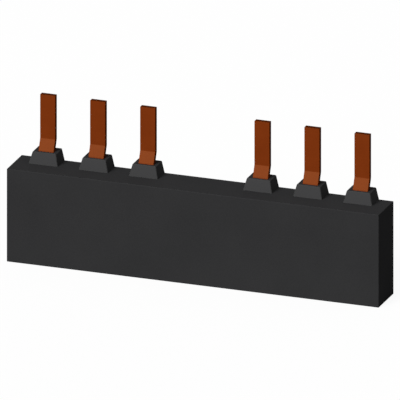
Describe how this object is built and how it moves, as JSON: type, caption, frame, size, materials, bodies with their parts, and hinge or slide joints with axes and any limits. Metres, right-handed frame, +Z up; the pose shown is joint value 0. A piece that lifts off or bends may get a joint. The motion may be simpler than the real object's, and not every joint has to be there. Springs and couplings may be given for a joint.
{
  "type": "three-phase busbar",
  "caption": "Black insulated busbar housing with tapered collars on its top, and cranked flat copper tabs in two groups that feed two three-pole devices side by side.",
  "frame": {"origin": "middle of the housing's flat underside", "axes": "+X along the housing from the first tab to the last, +Y from the plain front face to the back cover, +Z up along the tabs"},
  "size_m": [0.1094, 0.012, 0.0469],
  "materials": {
    "housing_plastic": "fine matte moulding",
    "insulator_plastic": "natural, unpigmented moulding",
    "copper": "bare rolled copper strip, satin"
  },
  "bodies": {
    "root": {"housing": "housing_plastic", "back_cover": "housing_plastic", "conductor_l1": "copper", "conductor_l2": "copper", "conductor_l3": "copper", "insulator_1": "insulator_plastic", "insulator_2": "insulator_plastic"}
  },
  "joints": []
}
